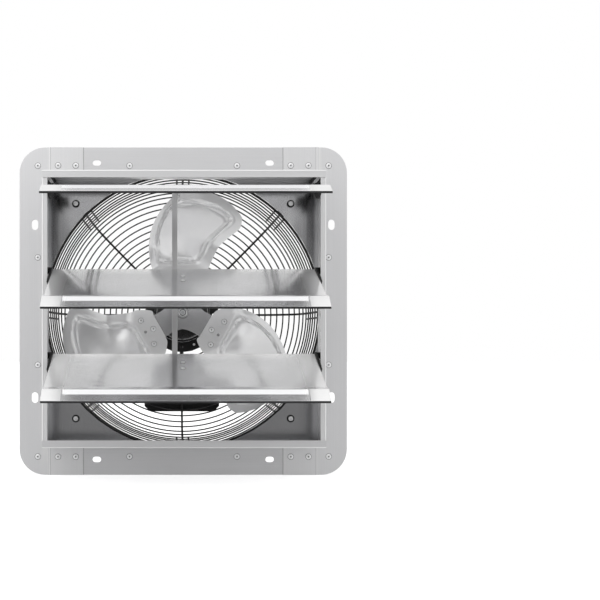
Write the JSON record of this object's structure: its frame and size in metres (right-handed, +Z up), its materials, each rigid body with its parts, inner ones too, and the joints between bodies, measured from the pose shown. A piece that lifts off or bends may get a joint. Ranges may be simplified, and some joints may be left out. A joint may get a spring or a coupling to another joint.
{
  "type": "shutter exhaust fan",
  "caption": "Wall exhaust fan with a square flanged sheet metal frame, linked swinging louvres in front, an axial fan and a wire guard that carries the motor.",
  "frame": {"origin": "on the fan axis, in the front face of the mounting flange, at the centre of the wall opening", "axes": "+X right as seen from the louvres, +Y from the louvres towards the motor, +Z up"},
  "size_m": [0.5, 0.3486, 0.5],
  "materials": {
    "frame_steel": "fine brushed stainless sheet",
    "plate_steel": "dull rolled steel sheet",
    "louvre_aluminium": "smooth rolled aluminium sheet",
    "fan_aluminium": "polished pressed aluminium",
    "zinc_fastener": "bright zinc plate",
    "guard_paint": "black powder coat",
    "motor_paint": "black semi gloss enamel",
    "core_steel": "stacked laminations",
    "winding_copper": "enamelled copper wire",
    "black_nylon": "moulded nylon",
    "cable_sheath": "smooth cable sheath"
  },
  "bodies": {
    "frame": {"side_channel_left": "frame_steel", "side_channel_right": "frame_steel", "top_channel": "frame_steel", "bottom_channel": "frame_steel", "back_plate": "plate_steel", "bearing_strip_left": "plate_steel", "bearing_strip_right": "plate_steel", "plate_bolt_1": "zinc_fastener", "plate_bolt_2": "zinc_fastener", "plate_bolt_3": "zinc_fastener", "plate_bolt_4": "zinc_fastener", "strip_screw_left_1": "zinc_fastener", "strip_screw_left_2": "zinc_fastener", "strip_screw_right_1": "zinc_fastener", "strip_screw_right_2": "zinc_fastener", "motor_screw_1": "zinc_fastener", "motor_screw_2": "zinc_fastener", "motor_screw_3": "zinc_fastener", "motor_screw_4": "zinc_fastener", "cover_screw_1": "zinc_fastener", "cover_screw_2": "zinc_fastener", "front_bearing": "zinc_fastener", "rear_bearing": "zinc_fastener", "rear_guard": "guard_paint", "motor_mount_disc": "guard_paint", "motor_front_housing": "motor_paint", "motor_rear_housing": "motor_paint", "stator_core": "core_steel", "stator_winding": "winding_copper", "junction_box_base": "black_nylon", "junction_box_cover": "black_nylon", "cable_gland": "black_nylon", "capacitor": "black_nylon", "motor_cable": "cable_sheath"},
    "shutter_top_body": {"louvre_top": "louvre_aluminium", "louvre_ear_left_top": "black_nylon", "louvre_ear_right_top": "black_nylon", "link_bracket_top": "zinc_fastener"},
    "shutter_middle_body": {"louvre_middle": "louvre_aluminium", "louvre_ear_left_middle": "black_nylon", "louvre_ear_right_middle": "black_nylon", "link_bracket_middle": "zinc_fastener"},
    "shutter_bottom_body": {"louvre_bottom": "louvre_aluminium", "louvre_ear_left_bottom": "black_nylon", "louvre_ear_right_bottom": "black_nylon", "link_bracket_bottom": "zinc_fastener"},
    "link_bar_body": {"link_bar": "louvre_aluminium", "link_pin_1": "zinc_fastener", "link_pin_2": "zinc_fastener", "link_pin_3": "zinc_fastener"},
    "fan_rotor": {"motor_shaft": "zinc_fastener", "rotor_core": "core_steel", "hub_sleeve": "zinc_fastener", "blade_spider": "plate_steel", "fan_blade_1": "fan_aluminium", "fan_blade_2": "fan_aluminium", "fan_blade_3": "fan_aluminium", "hub_washer": "zinc_fastener", "hub_bolt": "zinc_fastener"}
  },
  "joints": [
    {"name": "shutter_top", "type": "hinge", "parent": "frame", "child": "shutter_top_body", "pos_m": [0, -0.045, 0.183], "axis": [1, 0, 0], "range_deg": [-13, 64]},
    {"name": "shutter_middle", "type": "hinge", "parent": "frame", "child": "shutter_middle_body", "pos_m": [0, -0.045, 0.0576], "axis": [1, 0, 0], "range_deg": [-10.9, 53.1]},
    {"name": "shutter_bottom", "type": "hinge", "parent": "frame", "child": "shutter_bottom_body", "pos_m": [0, -0.045, -0.0678], "axis": [1, 0, 0], "range_deg": [-10.9, 53.1]},
    {"name": "link_bar_hinge", "type": "hinge", "parent": "shutter_middle_body", "child": "link_bar_body", "pos_m": [0, -0.03026, 0.04728], "axis": [1, 0, 0], "range_deg": [-53.1, 10.9]},
    {"name": "rotor_spin", "type": "hinge", "parent": "frame", "child": "fan_rotor", "pos_m": [0, 0, 0], "axis": [0, 1, 0], "continuous": true}
  ],
  "couplings": [
    {"joint": "shutter_middle", "follows": "shutter_top", "ratio": 0.82812},
    {"joint": "shutter_bottom", "follows": "shutter_top", "ratio": 0.82812},
    {"joint": "link_bar_hinge", "follows": "shutter_top", "ratio": -0.82812}
  ]
}
